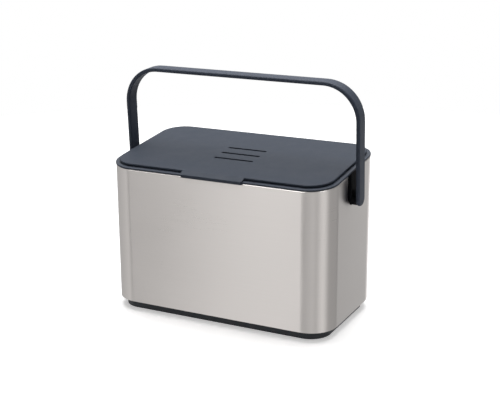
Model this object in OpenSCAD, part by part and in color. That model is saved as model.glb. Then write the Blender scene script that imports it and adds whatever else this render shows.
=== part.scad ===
// Compost caddy: a brushed steel sleeve on a dark plinth, a lift-out bucket
// that hangs in the sleeve, a hinged lid with a thumb tab and vents, and a
// carry handle that swings on two pins in the bucket's lugs.
// Origin: middle of the footprint, on the floor. +X right, -Y front, +Z up.
// The rim and the lid lie in a plane that rises towards the back.

/* [Body] */
// Width of the steel sleeve
body_w = 240; // [220:1:260]
// Depth of the steel sleeve
body_d = 132; // [122:1:150]
// Radius of the upright corners
corner_r = 27.5; // [24:0.5:34]
// Height of the sleeve's top edge at mid depth
rim_z = 156; // [145:1:180]
// Slope of the rim, rising towards the back
rim_tilt = 6; // [2:0.5:9]

/* [Sleeve] */
// Thickness of the steel sheet
sleeve_t = 0.8; // [0.5:0.1:1.2]
// Radius of the rolled top edge
roll_r = 1.1; // [0.9:0.1:1.2]
// Width of the hem turned in under the sleeve
hem_w = 12; // [10:0.5:13]
// Width of the handle notches
notch_w = 33; // [28:0.5:40]
// Radius of the notches' lower corners
notch_r = 13; // [6:0.5:14]
// Height of the notches' lower edge
notch_z = 123.4; // [118:0.2:124]
// Width of the seam line at the back
seam_w = 0.6; // [0.4:0.1:1]

/* [Base] */
// Height of the plinth, from floor to sleeve
plinth_h = 9.3; // [7:0.1:14]
// How far the plinth stands in from the sleeve
plinth_inset = 6.5; // [4:0.5:8]
// Thickness of the plinth's skirt and deck
plinth_t = 2.2; // [1.6:0.1:3]
// Gap between the plinth's lower edge and the floor
plinth_lift = 0.6; // [0.3:0.1:1]
// Radius of a rubber foot
foot_r = 9; // [6:0.5:11]
// Thickness of a rubber foot
foot_t = 2.6; // [2:0.1:3.5]
// Distance of the feet's middles from the side walls
foot_inset = 28; // [24:0.5:34]

/* [Bucket] */
// Wall of the bucket
wall_t = 1.8; // [1.4:0.1:2.4]
// Thickness of the rim flange
flange_t = 1.9; // [1.6:0.1:2.4]
// How far the flange stands proud of the sleeve
flange_over = 0.4; // [0.2:0.1:1]
// Inset of the bucket's outer wall at the rim
bucket_in = 5.5; // [5:0.1:6.5]
// Inset of the bucket's outer wall near its foot
bucket_foot_in = 11; // [9:0.5:14]
// Height of the bucket's underside
bucket_z = 12.8; // [12.4:0.2:16]

/* [Lid] */
// Inset of the lid from the sleeve's outline
lid_in = 3.8; // [3:0.1:4.5]
// Thickness of the lid's plate
lid_t = 1.9; // [1.6:0.1:2.4]
// Shadow gap between ledge and lid
lid_gap = 1; // [0.6:0.1:1.6]
// Radius of the lid's upper edge
lid_edge_r = 0.9; // [0.6:0.1:1.5]
// Inset of the ring that drops into the bucket's mouth
plug_in = 9; // [8.8:0.1:10]
// Depth of that ring below the sleeve's edge
plug_h = 5.5; // [4.5:0.5:8]
// Width of the thumb tab
tab_w = 67; // [40:1:90]
// How far the thumb tab reaches out past the sleeve
tab_out = 2.3; // [2:0.1:3]
// Length of the tab's lip below the sleeve's edge
tab_drop = 0.6; // [0.4:0.1:2]
// Height of the tab's outer edge above the sleeve
tab_lip = 2.4; // [2.2:0.1:3]
// Thickness of the tab's slope
tab_t = 1.05; // [0.8:0.05:1.1]
// Rounding of the tab's corners, seen from above
tab_turn = 2.5; // [1:0.1:4]

/* [Vents] */
// Length of a vent slot
slot_l = 43; // [25:1:60]
// Width of a vent slot
slot_w = 3.2; // [2:0.1:4]
// Distance from slot to slot
slot_pitch = 15.4; // [10:0.2:17]
// Middle slot, in front of (-) or behind (+) the lid's middle
slot_y = -3.8; // [-8:0.2:4]
// Length of the filter pad
pad_l = 70; // [60:1:90]
// Width of the filter pad
pad_w = 54; // [44:1:60]
// Thickness of the filter pad
pad_t = 4.5; // [3:0.5:6]
// Thickness of the filter cover
cover_t = 1.6; // [1.2:0.1:2]

/* [Hinge] */
// Distance of the hinge line from the rim's back edge
hinge_in = 5.8; // [5.4:0.1:6]
// Height of the hinge line above the sleeve's edge
hinge_h = 1.6; // [1.4:0.1:1.7]
// Radius of the knuckles
knuckle_r = 2.3; // [2:0.1:2.4]
// Radius of the hinge pins
hinge_pin_r = 1.2; // [0.8:0.1:1.3]
// Length of a lid knuckle
knuckle_l = 8; // [6:0.5:12]
// Distance of each hinge from the middle
hinge_x = 62; // [40:1:75]

/* [Handle] */
// Distance of each leg's middle from the sleeve's side
leg_off = 6.6; // [4:0.1:12]
// Thickness of the band
band_t = 4.1; // [3.5:0.1:5]
// Width of the band
band_w = 15.5; // [12:0.5:18]
// Radius of the band's long edges
band_edge_r = 1.7; // [1:0.1:1.7]
// Radius of the two upper bends, at the band's middle
bend_r = 35.7; // [25:0.1:45]
// Height of the bar above the pivots
bar_h = 110.8; // [90:0.2:130]
// Height of the pivots
pivot_z = 129.7; // [127:0.1:133]
// Forward lean of the handle as it stands
lean = 2.75; // [0:0.25:5]
// Radius of the boss inside each leg
boss_r = 7.2; // [6:0.1:7.4]
// Radius of the pivot pins
pivot_r = 2.5; // [2:0.1:3]
// Thickness of the bucket's pivot lugs
lug_t = 3; // [2.4:0.1:3.4]
// Half width of the pivot lugs
lug_r = 8; // [7.5:0.1:9]
// Radius of the retaining clips
clip_r = 5.2; // [4.5:0.1:5.6]
// Thickness of the retaining clips
clip_t = 1; // [0.8:0.1:1.2]

/* [Clearances] */
// Running clearance of a pin in its bore, on the radius
run_gap = 0.05; // [0.02:0.01:0.1]
// Gap between faces that slide past each other
side_gap = 0.15; // [0.1:0.05:0.3]
// Room round a foot in its pocket
foot_gap = 0.1; // [0.05:0.05:0.2]
// Room round the filter pad and its cover
pad_gap = 0.2; // [0.1:0.05:0.3]
// Gap between the lid's seal and the bucket's wall
seal_gap = 0.3; // [0.2:0.05:0.4]
// Room round the knuckles where they turn
knuckle_gap = 0.3; // [0.2:0.05:0.3]

/* [Hidden] */
$fn = 72;
big = 500;
tall = 80;
leg_x = body_w / 2 + leg_off;
rim_d = body_d / cos(rim_tilt);
roll_out = 0.25;
roll_turn = corner_r + roll_out + 0.4;
bucket_slope = (bucket_foot_in - bucket_in) / (rim_z - bucket_z - 4);
lid_h0 = flange_t + lid_gap;
lid_h1 = lid_h0 + lid_t;
lid_w = body_w - 2 * lid_in;
lid_d = rim_d - 2 * lid_in;
lid_r = corner_r - lid_in;
mouth_in = bucket_in + wall_t;
hinge_y = rim_d / 2 - hinge_in;
trough_x = body_w / 2 - corner_r + 2.5;
trough_end = trough_x + 6.5;
trough_y = hinge_y + 3.5;
seal_h = -2.4;
seal_half = 1;
groove_d = 0.6;
frame_t = 1.6;
lug_face = body_w / 2 + flange_over;
boss_face = lug_face + side_gap;
pin_end = leg_x;
clip_face = lug_face - lug_t - side_gap;
pin_in = clip_face - clip_t - 1;

// ---------------------------------------------------------------- outlines

module rounded(w, d, r) {
    square([w - 2 * r, d], center = true);
    square([w, d - 2 * r], center = true);
    for (x = [-1, 1], y = [-1, 1])
        translate([x * (w / 2 - r), y * (d / 2 - r)]) circle(r = r);
}

// The sleeve's plan, grown by g
module outline(g) {
    rounded(body_w + 2 * g, body_d + 2 * g, corner_r + g);
}

module ring(g_out, g_in, z0, z1) {
    translate([0, 0, z0]) linear_extrude(height = z1 - z0)
        difference() {
            outline(g_out);
            outline(g_in);
        }
}

// Frame of the sloping rim: z = 0 on the sleeve's top edge
module on_rim() {
    translate([0, 0, rim_z]) rotate([rim_tilt, 0, 0]) children();
}

module below_rim(h) {
    difference() {
        children();
        on_rim() translate([-big / 2, -big / 2, h]) cube([big, big, big]);
    }
}

// Sweeps a flat profile round a rounded rectangle. In the profile x is the
// distance out from the outline and y the height.
module around(w, d, r) {
    for (s = [0, 180]) rotate([0, 0, s]) {
        translate([w / 2, 0, 0]) rotate([90, 0, 0])
            linear_extrude(height = d - 2 * r, center = true) children();
        translate([0, d / 2, 0]) rotate([90, 0, 90])
            linear_extrude(height = w - 2 * r, center = true) children();
        translate([w / 2 - r, d / 2 - r, 0])
            rotate_extrude(angle = 90) translate([r, 0]) children();
        translate([r - w / 2, d / 2 - r, 0]) rotate([0, 0, 90])
            rotate_extrude(angle = 90) translate([r, 0]) children();
    }
}

// Flat strip from x0 to x1, with its outer corners rounded by f0 below, f1 above
module edge_profile(x0, x1, h0, h1, f0, f1) {
    f = max(f0, f1);
    intersection() {
        union() {
            translate([x0, h0]) square([x1 - f - x0, h1 - h0]);
            translate([x1 - f - 0.2, h0 + f0]) square([f + 0.2, h1 - h0 - f0 - f1]);
            translate([x1 - f, h1 - f]) circle(r = f);
            if (f0 > 0) translate([x1 - f, h0 + f]) circle(r = f);
        }
        translate([x0, h0]) square([x1 - x0, h1 - h0]);
    }
}

// Plate with a rounded upper edge
module rim_plate(w, d, r, h0, h1, f) {
    a = f + 1;
    translate([0, 0, h0]) linear_extrude(height = h1 - h0) rounded(w - 2 * a, d - 2 * a, r - a);
    around(w, d, r) edge_profile(-a - 1, 0, h0, h1, 0, f);
}

// Rod along X, centred on x
module rod(x, l, r) {
    translate([x, 0, 0]) rotate([0, 90, 0]) cylinder(r = r, h = l, center = true);
}

// ------------------------------------------------------------------ sleeve

module notch() {
    wide = notch_w / 2 - notch_r;
    for (s = [0, 180]) rotate([0, 0, s]) {
        translate([body_w / 2 - 10, -notch_w / 2, notch_z + notch_r])
            cube([20, notch_w, tall]);
        translate([body_w / 2 - 10, -wide, notch_z])
            cube([20, 2 * wide, notch_r + 1]);
        for (y = [-wide, wide])
            translate([body_w / 2, y, notch_z + notch_r]) rod(0, 20, notch_r);
    }
}

module outer_sleeve() {
    color("silver") difference() {
        union() {
            below_rim(-roll_r) ring(0, -sleeve_t, plinth_h, rim_z + 30);
            ring(-sleeve_t / 2, -hem_w, plinth_h, plinth_h + sleeve_t);
            on_rim() around(body_w + 2 * roll_out, rim_d + 2 * roll_out, roll_turn)
                translate([-roll_r, -roll_r]) circle(r = roll_r);
        }
        notch();
        translate([-seam_w / 2, body_d / 2 - sleeve_t / 3, plinth_h + 2])
            cube([seam_w, 2, rim_z - plinth_h - 2]);
    }
}

// -------------------------------------------------------------------- base

module at_feet() {
    for (x = [-1, 1], y = [-1, 1])
        translate([x * (body_w / 2 - foot_inset), y * (body_d / 2 - foot_inset), 0])
            children();
}

module foot(x, y) {
    color("#1c1d20")
        translate([x * (body_w / 2 - foot_inset), y * (body_d / 2 - foot_inset), 0]) {
            cylinder(r1 = foot_r - 0.6, r2 = foot_r, h = 0.6);
            translate([0, 0, 0.6]) cylinder(r = foot_r, h = foot_t - 0.6);
        }
}

module base_hook() {
    translate([-5, -2.6, plinth_h + sleeve_t + 0.05]) cube([10, 3.2, 1.5]);
}

module base_tray() {
    inner = plinth_inset + plinth_t;
    deck_z = plinth_h - plinth_t;
    collar = hem_w + 0.3;
    color("#25272b") difference() {
        union() {
            ring(-plinth_inset, -inner, plinth_lift, plinth_h);
            translate([0, 0, deck_z]) linear_extrude(height = plinth_t) outline(-inner + 0.5);
            ring(-collar, -collar - 1.6, plinth_h - 0.5, plinth_h + 2.4);
            at_feet() translate([0, 0, plinth_lift + 0.2])
                cylinder(r = foot_r + 2, h = deck_z - plinth_lift);
            for (x = [-60, -20, 20, 60])
                translate([x - 0.8, inner - body_d / 2 - 1, 3]) cube([1.6, body_d - 2 * inner + 2, deck_z - 2]);
            for (y = [-20, 20])
                translate([inner - body_w / 2 - 1, y - 0.8, 3]) cube([body_w - 2 * inner + 2, 1.6, deck_z - 2]);
            for (s = [-1, 1], x = [-60, 0, 60]) {
                translate([x, s * (body_d / 2 - collar), 0]) rotate([0, 0, s > 0 ? 0 : 180]) base_hook();
            }
            for (s = [-1, 1])
                translate([s * (body_w / 2 - collar), 0, 0]) rotate([0, 0, s > 0 ? -90 : 90]) base_hook();
        }
        at_feet() cylinder(r = foot_r + foot_gap, h = foot_t);
    }
}

// ------------------------------------------------------------------ bucket

// The bucket's body, a full form: g thinner all round, foot at z0
module bucket_form(g, z0) {
    up = 30;
    hull() {
        translate([0, 0, z0]) linear_extrude(height = 0.01) outline(-bucket_foot_in - g - 4);
        translate([0, 0, z0 + 1.2]) linear_extrude(height = 0.01) outline(-bucket_foot_in - g - 1.2);
        translate([0, 0, z0 + 4]) linear_extrude(height = 0.01) outline(-bucket_foot_in - g);
        translate([0, 0, rim_z + up]) linear_extrude(height = 0.01)
            outline(-bucket_in - g + bucket_slope * up);
    }
}

module pivot_lug() {
    lug_x = lug_face - lug_t;
    web = 1.8;
    below_rim(0.5) {
        intersection() {
            translate([lug_x + lug_t / 2, 0, pivot_z]) rod(0, lug_t, lug_r);
            translate([lug_x - 1, -lug_r - 1, notch_z + 2 * side_gap]) cube([lug_t + 2, 2 * lug_r + 2, 3 * lug_r]);
        }
        translate([lug_x, -lug_r, pivot_z]) cube([lug_t, 2 * lug_r, rim_z - pivot_z + 8]);
        for (y = [-lug_r, lug_r - web])
            translate([lug_x - 6, y, pivot_z - 2]) cube([7, web, rim_z - pivot_z + 8]);
    }
}

module bucket_knuckles(r, slack) {
    for (s = [-1, 1], e = [-1, 1])
        translate([s * hinge_x + e * (knuckle_l + side_gap), 0, 0])
            rod(0, knuckle_l + 2 * slack - side_gap, r);
}

module hinge_rail() {
    translate([-trough_x - 1.5, hinge_y - 2.5, -4.2])
        cube([2 * trough_x + 3, 5.6, 4.6]);
}

module hinge_trough() {
    translate([-trough_end, hinge_y - 0.8, flange_t - 1]) cube([2 * trough_end, trough_y - hinge_y + 0.8, 8]);
    translate([-trough_x, hinge_y - 6, 0.1]) cube([2 * trough_x, trough_y - hinge_y + 6, 8]);
    translate([0, hinge_y, hinge_h]) rod(0, 2 * trough_x, knuckle_r + 2 * knuckle_gap);
}

module inner_bucket() {
    color("#3a4048") difference() {
        union() {
            difference() {
                union() {
                    below_rim(flange_t - 0.3) bucket_form(0, bucket_z);
                    on_rim() {
                        around(body_w, rim_d, corner_r)
                            edge_profile(-mouth_in - 1, flange_over, 0, flange_t, 0.7, 0.7);
                        around(body_w, rim_d, corner_r)
                            translate([-2.7 - 1, -5]) square([1, 5.3]);
                        hinge_rail();
                    }
                }
                on_rim() hinge_trough();
                notch();
            }
            difference() {
                union() {
                    below_rim(flange_t - 0.3) intersection() {
                        bucket_form(0, bucket_z);
                        translate([-big / 2, -notch_w / 2 - 1, notch_z - 2]) cube([big, notch_w + 2, tall]);
                    }
                    on_rim() intersection() {
                        around(body_w, rim_d, corner_r)
                            edge_profile(-mouth_in - 1, flange_over, 0, flange_t, 0.7, 0.7);
                        translate([-big / 2, -notch_w / 2 - 1, -1]) cube([big, notch_w + 2, 5]);
                    }
                    for (s = [0, 180]) mirror([s / 180, 0, 0]) pivot_lug();
                }
            }
            on_rim() {
                translate([0, hinge_y, hinge_h]) bucket_knuckles(knuckle_r, 0);
                for (s = [-1, 1], e = [-1, 1])
                    translate([s * hinge_x + e * (knuckle_l + side_gap), hinge_y - 0.2, (hinge_h - 2) / 2])
                        cube([knuckle_l - side_gap, 2.8, hinge_h + 2], center = true);
            }
        }
        bucket_form(wall_t, bucket_z + wall_t);
        translate([0, 0, pivot_z]) rod(0, body_w + 10, pivot_r + run_gap);
        on_rim() translate([0, hinge_y, hinge_h]) rod(0, body_w - 20, hinge_pin_r + run_gap);
    }
}

// --------------------------------------------------------------------- lid

module lid_tab() {
    tip = rim_d / 2 + tab_out;
    a0 = lid_d / 2 - 0.5;
    fall = (lid_h1 - tab_lip) / (tip - a0);
    lip_t = tab_out - flange_over - 0.3;
    turn = 0.5;
    turn_h = tab_lip - turn * (sqrt(1 + fall * fall) - fall);
    intersection() {
        rotate([90, 0, -90]) linear_extrude(height = tab_w, center = true) polygon([
            [a0 - 2.5, lid_h0 + 0.3],
            [a0 - 2.5, lid_h1],
            [a0, lid_h1],
            for (a = [90 - atan(fall) : -17.5 : 0]) [tip - turn + turn * cos(a), turn_h + turn * sin(a)],
            [tip, -tab_drop],
            [tip - lip_t, -tab_drop],
            [tip - lip_t, lid_h1 - tab_t - fall * (tip - lip_t - a0)],
            [a0, lid_h1 - tab_t]
        ]);
        translate([0, 0, -big / 2]) linear_extrude(height = big)
            rounded(tab_w, rim_d + 2 * tab_out, tab_turn);
    }
}

module vent_slots() {
    for (i = [-1, 0, 1]) translate([0, slot_y + i * slot_pitch, 0]) {
        translate([0, 0, 3]) cube([slot_l - slot_w, slot_w, 8], center = true);
        for (x = [-1, 1])
            translate([x * (slot_l - slot_w) / 2, 0, -1]) cylinder(r = slot_w / 2, h = 8);
    }
}

module filter_frame() {
    h0 = lid_h0 - pad_t - cover_t;
    translate([-pad_l / 2 - pad_gap - frame_t, slot_y - pad_w / 2 - pad_gap - frame_t, h0])
        cube([pad_l + 2 * (pad_gap + frame_t), pad_w + 2 * (pad_gap + frame_t), lid_h0 - h0 + 0.3]);
}

module lid() {
    color("#3f4650") on_rim() difference() {
        union() {
            rim_plate(lid_w, lid_d, lid_r, lid_h0, lid_h1, lid_edge_r);
            lid_tab();
            difference() {
                around(lid_w, lid_d, lid_r) translate([-2.2, flange_t]) square([1.2, lid_gap + 0.3]);
                translate([-big / 2, hinge_y - 8, -big / 2]) cube([big, big, big]);
            }
            difference() {
                around(body_w, rim_d, corner_r)
                    translate([-plug_in - 1.5, -plug_h]) square([1.5, plug_h + lid_h0 + 0.3]);
                around(body_w, rim_d, corner_r)
                    translate([-plug_in - groove_d, seal_h - seal_half]) square([5, 2 * seal_half]);
            }
            filter_frame();
            for (x = [-75, 75])
                translate([x - 0.8, -rim_d / 2 + plug_in + 1, lid_h0 - 4]) cube([1.6, rim_d - 2 * plug_in - 2, 4.3]);
            for (s = [-1, 1])
                translate([s * hinge_x, hinge_y, hinge_h]) {
                    rod(0, knuckle_l, knuckle_r);
                    translate([-knuckle_l / 2, -3, 0]) cube([knuckle_l, 3, lid_h0 - hinge_h + 0.3]);
                }
        }
        vent_slots();
        translate([-pad_l / 2 - pad_gap, slot_y - pad_w / 2 - pad_gap, -big + lid_h0])
            cube([pad_l + 2 * pad_gap, pad_w + 2 * pad_gap, big]);
        translate([0, hinge_y, hinge_h]) {
            bucket_knuckles(knuckle_r + knuckle_gap, side_gap / 2);
            rod(0, 2 * hinge_x + 30, hinge_pin_r);
        }
    }
}

module lid_seal() {
    color("#17181a") on_rim() around(body_w, rim_d, corner_r) {
        reach = plug_in - mouth_in - seal_gap;
        translate([-plug_in - groove_d, seal_h - seal_half]) square([groove_d + reach - seal_half, 2 * seal_half]);
        translate([-plug_in + reach - seal_half, seal_h]) circle(r = seal_half);
    }
}

module filter_pad() {
    color("#2a2c2e") on_rim()
        translate([-pad_l / 2, slot_y - pad_w / 2, lid_h0 - pad_t]) cube([pad_l, pad_w, pad_t]);
}

module filter_cover() {
    gap = pad_gap / 2;
    color("#3a4048") on_rim() translate([0, slot_y, lid_h0 - pad_t - cover_t]) difference() {
        translate([-pad_l / 2 - gap, -pad_w / 2 - gap, 0]) cube([pad_l + 2 * gap, pad_w + 2 * gap, cover_t]);
        for (i = [-3 : 3]) translate([i * (pad_l - 12) / 6 - 1.5, -pad_w / 2 + 6, -1]) cube([3, pad_w - 12, 4]);
    }
}

module hinge_pin(s) {
    color("silver") on_rim() translate([s * hinge_x, hinge_y, hinge_h])
        rod(0, 3 * knuckle_l, hinge_pin_r);
}

// ------------------------------------------------------------------ handle

module band() {
    square([band_t - 2 * band_edge_r, band_w], center = true);
    square([band_t, band_w - 2 * band_edge_r], center = true);
    for (x = [-1, 1], y = [-1, 1])
        translate([x * (band_t / 2 - band_edge_r), y * (band_w / 2 - band_edge_r)]) circle(r = band_edge_r);
}

module half_band() {
    intersection() {
        rotate([0, 0, 90]) band();
        translate([0, -band_t]) square([band_w, 2 * band_t]);
    }
}

module handle_half() {
    up = bar_h - bend_r;
    translate([leg_x, 0, 0]) {
        linear_extrude(height = up) band();
        rotate([0, 90, 0]) rotate([0, 0, -90]) rotate_extrude(angle = 180) half_band();
    }
    translate([leg_x - bend_r, 0, up]) rotate([90, 0, 0])
        rotate_extrude(angle = 90) translate([bend_r, 0]) band();
    translate([boss_face, 0, 0]) rotate([0, 90, 0])
        cylinder(r = boss_r, h = leg_x - band_t / 2 + 0.3 - boss_face);
}

module handle() {
    color("#3f4650") translate([0, 0, pivot_z]) rotate([lean, 0, 0]) difference() {
        union() {
            handle_half();
            mirror([1, 0, 0]) handle_half();
            translate([0, 0, bar_h]) rotate([0, 90, 0])
                linear_extrude(height = 2 * (leg_x - bend_r), center = true) band();
        }
        for (s = [-1, 1]) rod(s * (pin_end + boss_face - 1) / 2, pin_end - boss_face + 1, pivot_r);
    }
}

module pivot_pin(s) {
    color("silver") translate([0, 0, pivot_z])
        rod(s * (pin_end + pin_in) / 2, pin_end - pin_in, pivot_r);
}

module pivot_clip(s) {
    color("silver") translate([s * (clip_face - clip_t / 2), 0, pivot_z]) difference() {
        rod(0, clip_t, clip_r);
        rod(0, clip_t + 1, pivot_r);
    }
}

outer_sleeve();
base_tray();
foot(-1, -1);  // foot_front_left
foot(1, -1);  // foot_front_right
foot(-1, 1);  // foot_back_left
foot(1, 1);  // foot_back_right
inner_bucket();
lid();
lid_seal();
filter_pad();
filter_cover();
hinge_pin(-1);  // hinge_pin_left
hinge_pin(1);  // hinge_pin_right
handle();
pivot_pin(-1);  // pivot_pin_left
pivot_pin(1);  // pivot_pin_right
pivot_clip(-1);  // pivot_clip_left
pivot_clip(1);  // pivot_clip_right
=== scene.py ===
import math

import bmesh
import bpy
from mathutils import Matrix, Vector


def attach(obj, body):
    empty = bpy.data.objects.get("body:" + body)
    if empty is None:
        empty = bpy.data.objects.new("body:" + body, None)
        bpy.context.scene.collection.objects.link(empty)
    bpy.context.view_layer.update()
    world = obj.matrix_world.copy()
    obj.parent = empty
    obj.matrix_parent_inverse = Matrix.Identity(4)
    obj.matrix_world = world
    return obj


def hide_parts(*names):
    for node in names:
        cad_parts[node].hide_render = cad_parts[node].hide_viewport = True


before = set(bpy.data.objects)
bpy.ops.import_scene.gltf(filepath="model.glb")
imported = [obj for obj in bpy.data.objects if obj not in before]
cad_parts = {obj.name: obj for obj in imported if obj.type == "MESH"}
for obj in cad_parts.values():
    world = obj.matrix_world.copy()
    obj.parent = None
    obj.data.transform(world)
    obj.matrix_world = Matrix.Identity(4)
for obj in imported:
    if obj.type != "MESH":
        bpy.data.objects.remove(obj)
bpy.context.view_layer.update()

MM = 0.001

# The camera, as solved on the outline of the sleeve
CAMERA_TURN = math.radians(26.604)
CAMERA_RISE = math.radians(16.398)
CAMERA_TIP = math.radians(-0.3)
CAMERA_AIM = Vector((8.132, 0.0, 110.198)) * MM
CAMERA_DISTANCE = 1.109893
LENS_LENGTH_MM = 78.97
SENSOR_WIDTH_MM = 36.0
NEAREST_SEEN = 0.05
FARTHEST_SEEN = 60.0

# Sizes of the part, from its source, that say where the painted shade in the notches begins
RIM_HEIGHT = 0.156
RIM_SLOPE = math.radians(6)
PIVOT_HEIGHT = 0.1297
LEG_INNER_FACE = 0.1245
BUCKET_WALL_REACH = 0.1148
BELOW_FLANGE = 0.002
BOSS_REACH = 0.012
JUST_BEHIND = 0.0002

# How a CAD mesh is cleaned
WELD_GAP = 2e-7
SHORTEST_EDGE = 1e-7
FLAT_WITHIN = math.radians(0.4)
SMOOTH_WITHIN = math.radians(32)

# Sockets of a Mix node that mixes colours
MIX_SHARE = 0
MIX_FIRST = 6
MIX_SECOND = 7
MIX_RESULT = 2

# Colours and edges of the finishes
STEEL_DARK_LINE = (0.618, 0.587, 0.567)
STEEL_LIGHT_LINE = (0.640, 0.608, 0.587)
STEEL_BAND = (0.61, 0.58, 0.56)
SPECK_LIFT = 1.35
RUBBED_SLATE = (0.075, 0.085, 0.105)
# Edge colour of the painted shade in the notches
PAINTED_SHADE_EDGE = (0.012, 0.013, 0.015)
RUBBED_EDGE_WIDTH = 0.0006
ROUNDED_EDGE = 0.0005
EDGE_SAMPLES = 6

# Brightness of the studio's walls as metal mirrors them, by the angle round from the front, in degrees
STUDIO_WALLS = (
    (-180, 0.85), (-145, 0.78), (-122, 0.56), (-100, 0.63), (-62, 0.76), (-50, 0.84), (-43, 0.68),
    (-38, 0.42), (-33, 0.34), (-31, 0.60), (-29, 1.02), (-26.5, 1.25), (-24.5, 1.16), (-20.5, 0.50),
    (-12, 0.40), (5, 0.64), (30, 0.76), (46, 0.62), (56, 0.67), (66, 0.79), (80, 0.92), (90, 0.74),
    (100, 0.50), (140, 0.48), (151, 0.35), (157, 0.31), (162, 0.86), (170, 1.20), (180, 0.95),
)
# The same above eye level, where bright cards hang
STUDIO_CARDS = (
    (-180, 0.75), (-130, 0.75), (-120, 4.8), (-14, 4.8), (-4, 0.6), (50, 0.6), (60, 3.4), (74, 3.4),
    (84, 0.5), (120, 0.4), (180, 0.4),
)
# The cards begin at this height of a mirrored direction and are whole at the next
CARDS_BEGIN = 0.16
CARDS_WHOLE = 0.36
# Left of the first the cards stop, and right of the second they are whole
CARDS_LEFT_END = -0.50
CARDS_LEFT_FULL = -0.43
# Light from all round on what isn't mirrored
SOFT_FILL = 0.10

FLOOR_RADIUS = 1.05
FLOOR_CORNERS = 96
FLOOR_TONE = 0.94
# What the camera sees of the floor on top of the lamps' light, so that the floor is white
FLOOR_LIFT = 0.42


def grey(level):
    return (level, level, level)


# ---------------------------------------------------------------- camera

def set_camera():
    """A camera that sees the caddy as the photograph does."""
    back = Vector((
        math.sin(CAMERA_TURN) * math.cos(CAMERA_RISE),
        -math.cos(CAMERA_TURN) * math.cos(CAMERA_RISE),
        math.sin(CAMERA_RISE),
    ))
    level_right = (-back).cross(Vector((0, 0, 1))).normalized()
    level_up = level_right.cross(-back)
    right = level_right * math.cos(CAMERA_TIP) + level_up * math.sin(CAMERA_TIP)
    up = level_up * math.cos(CAMERA_TIP) - level_right * math.sin(CAMERA_TIP)
    spot = CAMERA_AIM + back * CAMERA_DISTANCE
    lens = bpy.data.cameras.new("photo_camera")
    lens.sensor_width = SENSOR_WIDTH_MM
    lens.lens = LENS_LENGTH_MM
    lens.clip_start = NEAREST_SEEN
    lens.clip_end = FARTHEST_SEEN
    camera = bpy.data.objects.new("photo_camera", lens)
    bpy.context.scene.collection.objects.link(camera)
    camera.matrix_world = Matrix((
        (right.x, up.x, back.x, spot.x),
        (right.y, up.y, back.y, spot.y),
        (right.z, up.z, back.z, spot.z),
        (0, 0, 0, 1),
    ))
    bpy.context.scene.camera = camera


# ----------------------------------------------------------------- nodes

class Wiring:
    """A node tree being put together. Values are a node's output, a colour or a number."""

    def __init__(self, tree):
        self.tree = tree

    def add(self, kind, **settings):
        node = self.tree.nodes.new(kind)
        for key, value in settings.items():
            setattr(node, key, value)
        return node

    def feed(self, value, socket):
        """Gives a socket its value."""
        if isinstance(value, bpy.types.NodeSocket):
            self.tree.links.new(value, socket)
        elif isinstance(value, tuple):
            socket.default_value = (*value, 1.0)
        else:
            socket.default_value = value

    def maths(self, operation, first, second):
        node = self.add("ShaderNodeMath", operation=operation)
        self.feed(first, node.inputs[0])
        self.feed(second, node.inputs[1])
        return node.outputs[0]

    def spread(self, value, low=0.0, high=1.0, start=0.0, end=1.0, curve="LINEAR"):
        """The value, with its range from start to end drawn out to run from low to high."""
        node = self.add("ShaderNodeMapRange", interpolation_type=curve)
        for key, amount in (("From Min", start), ("From Max", end), ("To Min", low), ("To Max", high)):
            node.inputs[key].default_value = amount
        self.feed(value, node.inputs["Value"])
        return node.outputs["Result"]

    def shades(self, value, stops):
        """The colours of the stops, each a place from 0 to 1 and a colour, picked by the value."""
        node = self.add("ShaderNodeValToRGB")
        ramp = node.color_ramp
        while len(ramp.elements) < len(stops):
            ramp.elements.new(0.5)
        for element, (place, colour) in zip(ramp.elements, stops):
            element.position = place
            element.color = (*colour, 1.0)
        self.feed(value, node.inputs["Fac"])
        return node.outputs["Color"]

    def mix(self, share, first, second):
        """The first colour where the share is 0 and the second where it is 1."""
        node = self.add("ShaderNodeMix", data_type="RGBA")
        self.feed(share, node.inputs[MIX_SHARE])
        self.feed(first, node.inputs[MIX_FIRST])
        self.feed(second, node.inputs[MIX_SECOND])
        return node.outputs[MIX_RESULT]


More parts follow.
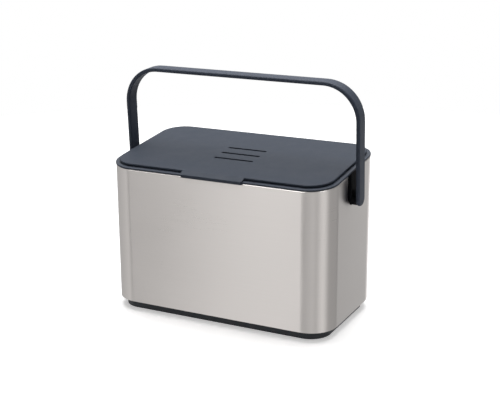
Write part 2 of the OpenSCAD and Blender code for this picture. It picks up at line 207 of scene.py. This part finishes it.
class Recipe(Wiring):
    """A material being put together round its shader."""

    def __init__(self, name):
        self.material = bpy.data.materials.new(name)
        self.material.use_nodes = True
        super().__init__(self.material.node_tree)
        self.shader = self.tree.nodes["Principled BSDF"]
        self.place = self.add("ShaderNodeTexCoord").outputs["Object"]

    def surface(self, **looks):
        """Gives the shader its values, by its sockets' names with _ for a space."""
        for name, value in looks.items():
            self.feed(value, self.shader.inputs[name.replace("_", " ")])

    def stretched(self, x, y, z):
        """The place on the piece, scaled along each axis."""
        mapping = self.add("ShaderNodeMapping")
        mapping.inputs["Scale"].default_value = (x, y, z)
        self.feed(self.place, mapping.inputs["Vector"])
        return mapping.outputs["Vector"]

    def noise(self, place, scale, detail=2.0, rough=0.5):
        node = self.add("ShaderNodeTexNoise")
        node.inputs["Scale"].default_value = scale
        node.inputs["Detail"].default_value = detail
        node.inputs["Roughness"].default_value = rough
        self.feed(place, node.inputs["Vector"])
        return node.outputs["Fac"]

    def relief(self, height, depth, strength, under=None):
        """Normals of a fine relief, on top of the normals under it."""
        node = self.add("ShaderNodeBump")
        node.inputs["Strength"].default_value = strength
        node.inputs["Distance"].default_value = depth
        self.feed(height, node.inputs["Height"])
        if under is not None:
            self.feed(under, node.inputs["Normal"])
        return node.outputs["Normal"]

    def rounded(self, radius):
        """Normals that run round the edges."""
        node = self.add("ShaderNodeBevel", samples=EDGE_SAMPLES)
        node.inputs["Radius"].default_value = radius
        return node.outputs["Normal"]

    def worn_edges(self):
        """A mask that is 1 on an edge and 0 on the flat."""
        soft = self.rounded(RUBBED_EDGE_WIDTH)
        geometry = self.add("ShaderNodeNewGeometry")
        likeness = self.add("ShaderNodeVectorMath", operation="DOT_PRODUCT")
        self.feed(soft, likeness.inputs[0])
        self.feed(geometry.outputs["True Normal"], likeness.inputs[1])
        return self.spread(likeness.outputs["Value"], low=1.0, high=0.0, start=0.75, end=0.98)


# -------------------------------------------------------------- finishes

def brushed_steel():
    """Sheet brushed level all round, which draws its reflections out."""
    r = Recipe("brushed_steel")
    lines = r.noise(r.stretched(14, 14, 4200), scale=1.0, detail=3.0, rough=0.65)
    bands = r.noise(r.stretched(5, 5, 700), scale=1.0)
    cloud = r.noise(r.stretched(9, 9, 12), scale=1.0)
    tone = r.shades(lines, ((0.3, STEEL_DARK_LINE), (0.7, STEEL_LIGHT_LINE)))
    tone = r.mix(r.spread(bands, low=0.0, high=0.20, start=0.35, end=0.65), tone, STEEL_BAND)
    grain = r.spread(lines, low=0.28, high=0.33, start=0.25, end=0.75)
    drift = r.spread(cloud, low=-0.02, high=0.03, start=0.3, end=0.7)
    r.surface(
        Base_Color=tone,
        Metallic=1.0,
        Roughness=r.maths("ADD", grain, drift),
        Anisotropic=0.85,
        Anisotropic_Rotation=0.25,
        Normal=r.relief(lines, depth=0.000005, strength=0.12),
    )
    return r.material


def moulded_plastic(name, dark, light, gloss, edge=RUBBED_SLATE, shine=0.35):
    """Plastic with a slow mottle, fine specks, a fine relief and edges rubbed paler."""
    r = Recipe(name)
    mottle = r.noise(r.place, scale=60.0, detail=4.0, rough=0.6)
    speck = r.noise(r.place, scale=2200.0, rough=0.6)
    tone = r.shades(mottle, ((0.3, dark), (0.7, light)))
    speck_tone = tuple(SPECK_LIFT * part for part in light)
    tone = r.mix(r.spread(speck, low=0.0, high=0.18, start=0.45, end=0.7), tone, speck_tone)
    wear = r.worn_edges()
    rub = r.noise(r.place, scale=180.0, detail=3.0, rough=0.6)
    wear = r.maths("MULTIPLY", wear, r.spread(rub, low=0.1, high=0.45, start=0.35, end=0.7))
    tone = r.mix(wear, tone, edge)
    soft = r.rounded(ROUNDED_EDGE)
    spark = r.noise(r.place, scale=1500.0, detail=3.0, rough=0.6)
    r.surface(
        Base_Color=tone,
        Roughness=r.spread(mottle, low=gloss - 0.04, high=gloss + 0.05, start=0.3, end=0.7),
        Specular_IOR_Level=shine,
        Normal=r.relief(spark, depth=0.00003, strength=0.6, under=soft),
    )
    return r.material


def soft_rubber():
    """Black rubber with a little dust."""
    r = Recipe("soft_rubber")
    dust = r.noise(r.place, scale=240.0, detail=4.0, rough=0.6)
    r.surface(
        Base_Color=r.shades(dust, ((0.35, (0.012, 0.012, 0.013)), (0.75, (0.030, 0.030, 0.032)))),
        Roughness=r.spread(dust, low=0.6, high=0.8),
        Normal=r.relief(r.noise(r.place, scale=1800.0), depth=0.00002, strength=0.5),
    )
    return r.material


def filter_felt():
    """Black carbon felt."""
    r = Recipe("filter_felt")
    fibre = r.noise(r.stretched(1, 3, 1), scale=900.0, detail=6.0, rough=0.7)
    r.surface(
        Base_Color=r.shades(fibre, ((0.3, (0.006, 0.006, 0.007)), (0.8, (0.035, 0.036, 0.038)))),
        Roughness=0.95,
        Sheen_Weight=0.3,
        Normal=r.relief(fibre, depth=0.0004, strength=0.9),
    )
    return r.material


def turned_steel():
    """Steel rod with the rings of the lathe."""
    r = Recipe("turned_steel")
    rings = r.noise(r.stretched(5000, 60, 60), scale=1.0)
    r.surface(
        Base_Color=r.shades(rings, ((0.3, (0.52, 0.52, 0.53)), (0.7, (0.66, 0.66, 0.66)))),
        Metallic=1.0,
        Roughness=r.spread(rings, low=0.22, high=0.4),
        Normal=r.relief(rings, depth=0.00001, strength=0.4),
    )
    return r.material


# ------------------------------------------------------------ the pieces

def lug_painted_shade(centre):
    """Whether a face of the bucket lies on a pivot lug, under the flange, where the notch's shade is
    painted on as black.
    """
    rise = centre.z * math.cos(RIM_SLOPE) - centre.y * math.sin(RIM_SLOPE)
    under_flange = rise < RIM_HEIGHT * math.cos(RIM_SLOPE) - BELOW_FLANGE
    return under_flange and abs(centre.x) > BUCKET_WALL_REACH


def boss_painted_shade(centre):
    """Whether a face of the handle lies on a pivot boss, behind a leg, where the notch's shade is painted
    on as black.
    """
    low_enough = centre.z < PIVOT_HEIGHT + BOSS_REACH
    return low_enough and abs(centre.x) < LEG_INNER_FACE - JUST_BEHIND


def welded_mesh(node, name, picks_painted_shade):
    """A CAD node's mesh with its corners merged and its curves smooth. Faces chosen for painted shade get
    slot 1.
    """
    bm = bmesh.new()
    bm.from_mesh(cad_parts[node].data)
    bmesh.ops.remove_doubles(bm, verts=bm.verts, dist=WELD_GAP)
    bmesh.ops.dissolve_degenerate(bm, edges=bm.edges, dist=SHORTEST_EDGE)
    bmesh.ops.dissolve_limit(
        bm, angle_limit=FLAT_WITHIN, use_dissolve_boundaries=False,
        verts=bm.verts, edges=bm.edges, delimit={"NORMAL"})
    bmesh.ops.recalc_face_normals(bm, faces=bm.faces)
    if picks_painted_shade:
        for face in bm.faces:
            face.material_index = int(picks_painted_shade(face.calc_center_median()))
    mesh = bpy.data.meshes.new(name)
    bm.to_mesh(mesh)
    bm.free()
    mesh.shade_smooth()
    mesh.set_sharp_from_angle(angle=SMOOTH_WITHIN)
    return mesh


def clean_copy(node, name, body, finish, painted_shade_finish=None, picks_painted_shade=None):
    """Puts a welded copy of a CAD node in its place, with a finish and perhaps a painted shade, a
    near-black finish, on faces in a recess.
    """
    piece = bpy.data.objects.new(name, welded_mesh(node, name, picks_painted_shade))
    bpy.context.scene.collection.objects.link(piece)
    piece.data.materials.append(finish)
    if painted_shade_finish:
        piece.data.materials.append(painted_shade_finish)
    even = piece.modifiers.new("even_shading", "WEIGHTED_NORMAL")
    even.keep_sharp = True
    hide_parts(node)
    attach(piece, body)


def dress_node(node, finish):
    """Gives a CAD node that stays its finish."""
    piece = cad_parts[node]
    piece.data.materials.clear()
    piece.data.materials.append(finish)


def build_object():
    """Every piece of the caddy, with its finish."""
    steel = brushed_steel()
    slate_lid = moulded_plastic(
        "slate_lid_plastic", (0.023, 0.030, 0.045), (0.027, 0.035, 0.051), gloss=0.60, shine=0.22)
    slate_handle = moulded_plastic(
        "slate_handle_plastic", (0.039, 0.048, 0.070), (0.045, 0.055, 0.078), gloss=0.51, shine=0.17)
    slate_bucket = moulded_plastic(
        "slate_bucket_plastic", (0.027, 0.034, 0.050), (0.032, 0.040, 0.057), gloss=0.54, shine=0.29)
    # Painted shade: a near-black plastic laid on the lugs and bosses in the notches, where there is only
    # shade
    painted_shade_black = moulded_plastic(
        "recess_black_plastic", (0.0045, 0.005, 0.006), (0.006, 0.0065, 0.008), gloss=0.7,
        edge=PAINTED_SHADE_EDGE, shine=0.08)
    dark_plinth = moulded_plastic(
        "dark_plinth_plastic", (0.026, 0.029, 0.034), (0.032, 0.036, 0.042), gloss=0.55)
    rubber = soft_rubber()
    felt = filter_felt()
    pin_steel = turned_steel()

    clean_copy("outer_sleeve", "steel_sleeve", "caddy", steel)
    clean_copy("base_tray", "dark_base", "caddy", dark_plinth)
    clean_copy("inner_bucket", "slate_bucket", "bucket", slate_bucket, painted_shade_black, lug_painted_shade)
    clean_copy("lid", "slate_lid", "lid", slate_lid)
    clean_copy("handle", "slate_handle", "handle", slate_handle, painted_shade_black, boss_painted_shade)
    clean_copy("lid_seal", "seal_ring", "lid", rubber)
    for corner in ("front_left", "front_right", "back_left", "back_right"):
        dress_node("foot_" + corner, rubber)
    dress_node("filter_pad", felt)
    dress_node("filter_cover", slate_lid)
    for side in ("left", "right"):
        for kind in ("hinge_pin_", "pivot_pin_", "pivot_clip_"):
            dress_node(kind + side, pin_steel)


# ---------------------------------------------------------------- studio

def pale_floor():
    """A pale disc: white to the camera, with the caddy's shadow on it, and clear to what metal mirrors."""
    bm = bmesh.new()
    bmesh.ops.create_circle(bm, cap_ends=True, segments=FLOOR_CORNERS, radius=FLOOR_RADIUS)
    mesh = bpy.data.meshes.new("studio_floor")
    bm.to_mesh(mesh)
    bm.free()
    floor = bpy.data.objects.new("studio_floor", mesh)
    bpy.context.scene.collection.objects.link(floor)
    r = Recipe("pale_floor")
    ray = r.add("ShaderNodeLightPath")
    r.surface(
        Base_Color=grey(FLOOR_TONE),
        Roughness=0.9,
        Specular_IOR_Level=0.0,
        Emission_Color=grey(1.0),
        Emission_Strength=r.maths("MULTIPLY", ray.outputs["Is Camera Ray"], FLOOR_LIFT),
    )
    clear = r.add("ShaderNodeBsdfTransparent")
    pane = r.add("ShaderNodeMixShader")
    r.feed(ray.outputs["Is Glossy Ray"], pane.inputs[0])
    r.feed(r.shader.outputs[0], pane.inputs[1])
    r.feed(clear.outputs[0], pane.inputs[2])
    r.feed(pane.outputs[0], r.tree.nodes["Material Output"].inputs["Surface"])
    floor.data.materials.append(r.material)


def studio_room():
    """White to the camera, walls and cards to what metal mirrors, and a soft fill to all else."""
    world = bpy.data.worlds.new("studio")
    bpy.context.scene.world = world
    world.use_nodes = True
    w = Wiring(world.node_tree)
    way = w.add("ShaderNodeSeparateXYZ")
    w.feed(w.add("ShaderNodeTexCoord").outputs["Generated"], way.inputs[0])
    to_front = w.maths("MULTIPLY", way.outputs["Y"], -1.0)
    angle = w.maths("ARCTAN2", way.outputs["X"], to_front)
    turn = w.spread(angle, start=-math.pi, end=math.pi)
    high = w.spread(way.outputs["Z"], start=CARDS_BEGIN, end=CARDS_WHOLE, curve="SMOOTHSTEP")
    not_left = w.spread(way.outputs["X"], start=CARDS_LEFT_END, end=CARDS_LEFT_FULL)
    overhead = w.maths("MULTIPLY", high, not_left)
    walls, cards = (
        w.shades(turn, [((degrees + 180) / 360, grey(level)) for degrees, level in lights])
        for lights in (STUDIO_WALLS, STUDIO_CARDS)
    )
    mirrored = w.mix(overhead, walls, cards)
    ray = w.add("ShaderNodeLightPath")
    lit = w.mix(ray.outputs["Is Glossy Ray"], grey(SOFT_FILL), mirrored)
    seen = w.mix(ray.outputs["Is Camera Ray"], lit, grey(1.0))
    w.feed(seen, w.tree.nodes["Background"].inputs["Color"])


def soft_lamp(name, size, watts, spot, aim, mirrored=True):
    """A flat lamp that the camera doesn't see, turned to its aim."""
    lamp = bpy.data.lights.new(name, "AREA")
    lamp.shape = "RECTANGLE"
    lamp.size, lamp.size_y = size
    lamp.energy = watts
    holder = bpy.data.objects.new(name, lamp)
    bpy.context.scene.collection.objects.link(holder)
    holder.location = spot
    holder.rotation_mode = "QUATERNION"
    holder.rotation_quaternion = (Vector(aim) - Vector(spot)).to_track_quat("-Z", "Y")
    holder.visible_camera = False
    holder.visible_glossy = mirrored


set_camera()
studio_room()
soft_lamp("top_light", size=(1.6, 1.2), watts=34, spot=(-0.15, 0.35, 1.5), aim=(0, 0, 0.1))
soft_lamp("side_light", size=(0.6, 1.4), watts=0.5, spot=(1.6, 0.5, 0.7), aim=(0, 0, 0.12), mirrored=False)
bpy.context.scene.view_settings.view_transform = "Standard"
pale_floor()
build_object()
